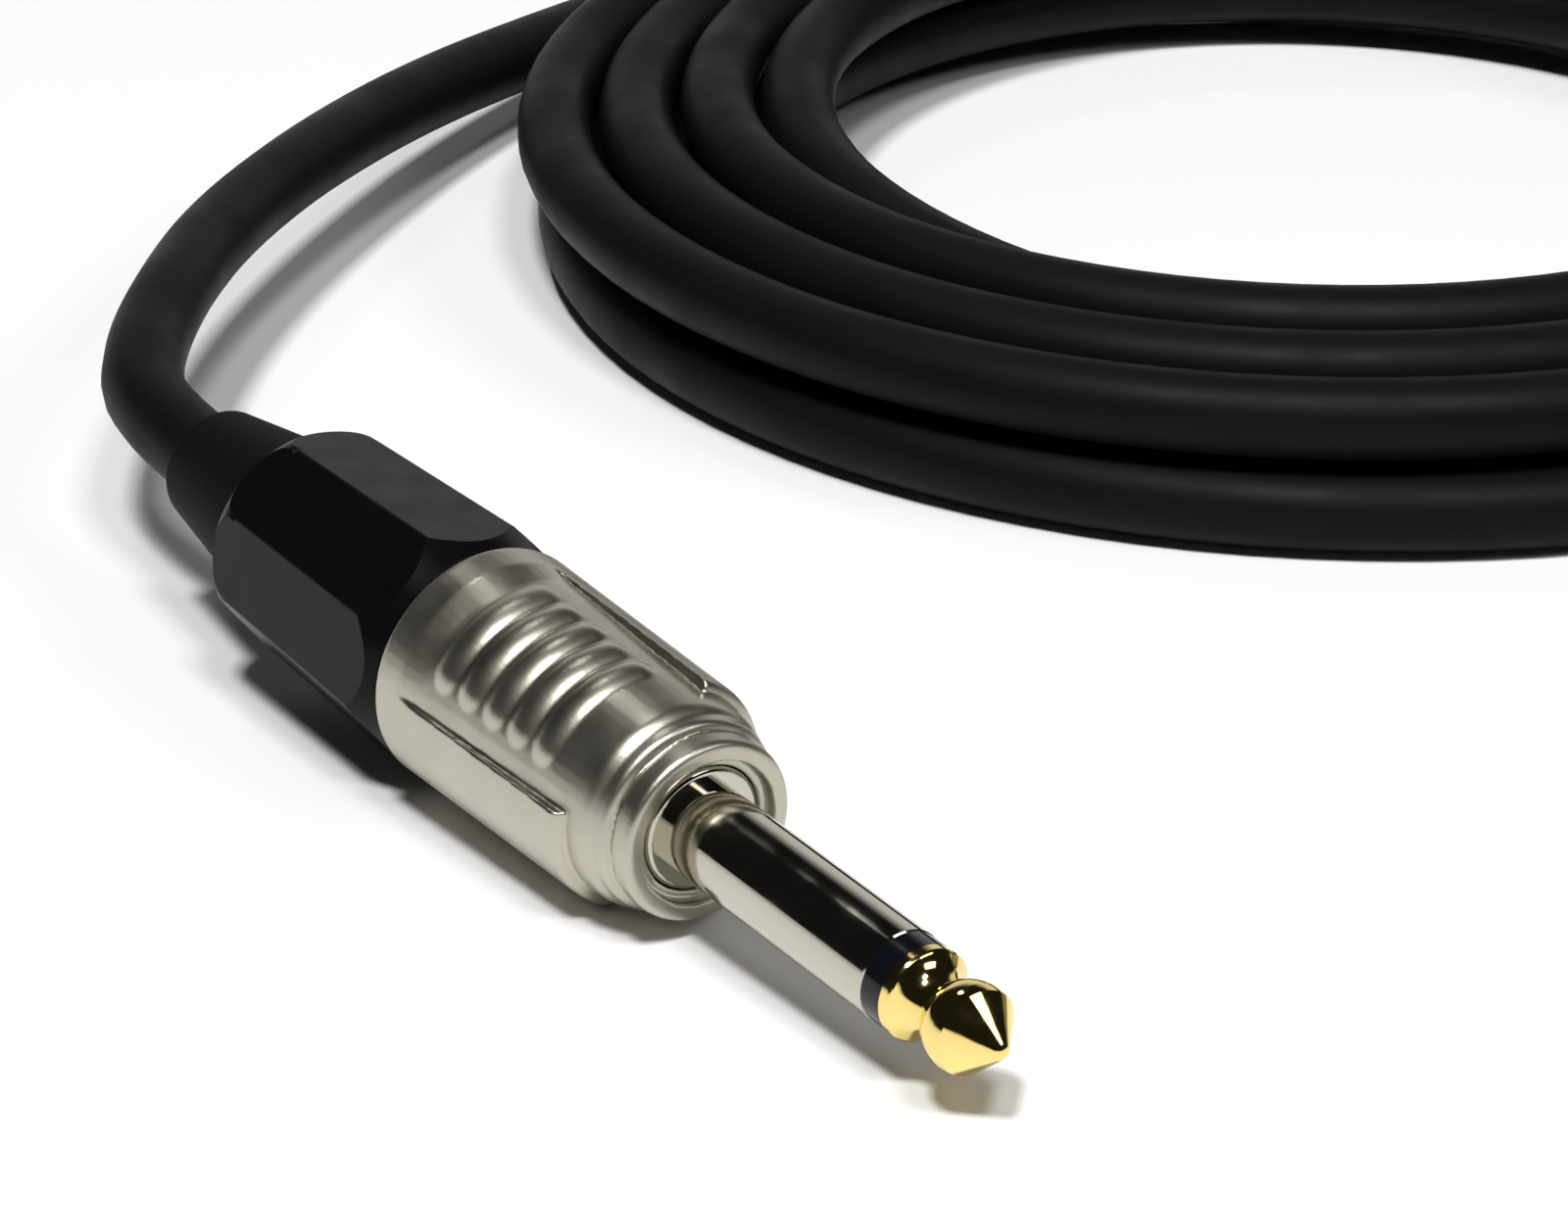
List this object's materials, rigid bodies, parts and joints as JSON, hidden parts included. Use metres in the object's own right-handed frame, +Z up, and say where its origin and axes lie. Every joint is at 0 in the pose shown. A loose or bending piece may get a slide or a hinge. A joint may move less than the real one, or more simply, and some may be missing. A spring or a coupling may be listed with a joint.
{
  "type": "instrument cable",
  "caption": "Instrument cable, coiled on a table, with a straight quarter-inch phone plug at each end: metal shell, screw cap with chuck strain relief, gold tip.",
  "frame": {"origin": "on the table, under the middle of the front plug's box", "axes": "+X along the front plug towards its tip, as seen from above; +Y from the plug towards the coil; +Z up from the table"},
  "size_m": [0.2005, 0.1858, 0.0178],
  "materials": {
    "gold_plate": "polished gold plate",
    "bright_nickel": "mirror-bright nickel plate",
    "satin_nickel": "satin nickel plate on a die casting",
    "insulator_plastic": "black moulded insulator",
    "chuck_plastic": "dark moulded plastic",
    "cap_plastic": "black hard plastic, slightly glossy",
    "relief_rubber": "black rubber",
    "cable_jacket": "black flexible jacket, satin",
    "tinned_brass": "tinned stamped sheet",
    "copper": "bare copper strands",
    "conductive_plastic": "black conductive plastic",
    "dielectric_plastic": "natural white plastic",
    "solder": "solder"
  },
  "bodies": {
    "cable_with_shells": {"front_tip": "gold_plate", "front_tip_insulator": "insulator_plastic", "front_sleeve": "bright_nickel", "front_rear_insulator": "insulator_plastic", "front_tip_terminal": "tinned_brass", "front_ground_lug": "tinned_brass", "front_shell": "satin_nickel", "front_liner": "insulator_plastic", "front_jacket": "cable_jacket", "front_shield": "copper", "front_conductive_layer": "conductive_plastic", "front_dielectric": "dielectric_plastic", "front_core_wire": "copper", "front_tip_solder": "solder", "front_ground_solder": "solder", "far_tip": "gold_plate", "far_tip_insulator": "insulator_plastic", "far_sleeve": "bright_nickel", "far_rear_insulator": "insulator_plastic", "far_tip_terminal": "tinned_brass", "far_ground_lug": "tinned_brass", "far_shell": "satin_nickel", "far_liner": "insulator_plastic", "far_jacket": "cable_jacket", "far_shield": "copper", "far_conductive_layer": "conductive_plastic", "far_dielectric": "dielectric_plastic", "far_core_wire": "copper", "far_tip_solder": "solder", "far_ground_solder": "solder", "free_stretch": "cable_jacket", "coil": "cable_jacket", "tail": "cable_jacket"},
    "front_chuck_body": {"front_chuck": "chuck_plastic"},
    "front_cap_body": {"front_cap": "cap_plastic", "front_bend_relief": "relief_rubber"},
    "far_chuck_body": {"far_chuck": "chuck_plastic"},
    "far_cap_body": {"far_cap": "cap_plastic", "far_bend_relief": "relief_rubber"}
  },
  "joints": [
    {"name": "front_chuck_slide", "type": "slide", "parent": "cable_with_shells", "child": "front_chuck_body", "axis": [-0.9982, 0, 0.0592], "range_m": [0, 0.005]},
    {"name": "front_cap_screw", "type": "hinge", "parent": "front_chuck_body", "child": "front_cap_body", "pos_m": [-0.02499, 0, 0.00959], "axis": [-0.9982, 0, 0.0592], "range_deg": [0, 1440]},
    {"name": "far_chuck_slide", "type": "slide", "parent": "cable_with_shells", "child": "far_chuck_body", "axis": [-0.4688, 0.8817, 0.0528], "range_m": [0, 0.005]},
    {"name": "far_cap_screw", "type": "hinge", "parent": "far_chuck_body", "child": "far_cap_body", "pos_m": [0.03787, 0.10019, 0.00939], "axis": [-0.4688, 0.8817, 0.0528], "range_deg": [0, 1440]}
  ],
  "couplings": [
    {"joint": "front_chuck_slide", "follows": "front_cap_screw", "m_per_rad": 0.00019894},
    {"joint": "far_chuck_slide", "follows": "far_cap_screw", "m_per_rad": 0.00019894}
  ]
}
